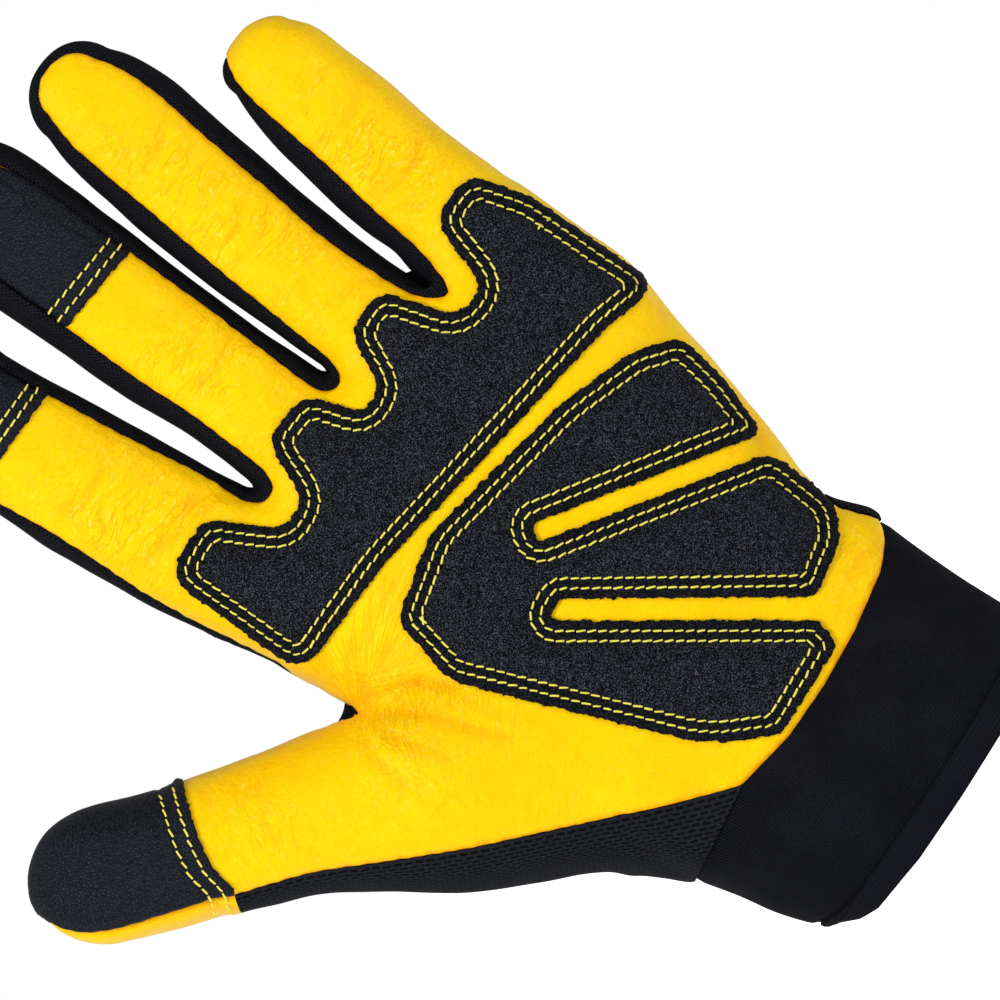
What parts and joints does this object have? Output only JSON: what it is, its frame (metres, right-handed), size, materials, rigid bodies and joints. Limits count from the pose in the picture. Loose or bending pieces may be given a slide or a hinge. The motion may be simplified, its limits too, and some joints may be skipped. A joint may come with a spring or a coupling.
{
  "type": "mechanic glove",
  "caption": "Left-hand work glove shown filled: yellow leather palm, padded black knuckle and heel patches, grained fingertip caps, black knit sides, back and wrist cuff.",
  "frame": {"origin": "centre of the wrist opening", "axes": "+Z along the fingers, -Y out of the palm, +X towards the little finger, -X towards the thumb"},
  "size_m": [0.1709, 0.0484, 0.2332],
  "materials": {
    "yellow_leather": "soft bright yellow grain leather with fine creases",
    "black_knit": "matte black fine knit",
    "black_mesh_knit": "matte black knit with small open holes in rows",
    "pad_fabric": "coarse grained black patch fabric over foam",
    "grained_leather": "black pebble-grained leather with a slight sheen",
    "cuff_fabric": "black stretch fabric with fine ribs"
  },
  "bodies": {
    "root": {"palm_leather": "yellow_leather", "thumb_edge_strip": "yellow_leather", "back_panel": "black_knit", "fourchette_index_middle": "black_knit", "fourchette_middle_ring": "black_knit", "fourchette_ring_little": "black_knit", "index_side_strip": "black_knit", "thumb_side_strip": "black_mesh_knit", "knuckle_pad": "pad_fabric", "heel_pad": "pad_fabric", "thumb_cap": "grained_leather", "index_cap": "grained_leather", "middle_cap": "grained_leather", "cuff": "cuff_fabric", "cuff_hem": "cuff_fabric"}
  },
  "joints": []
}
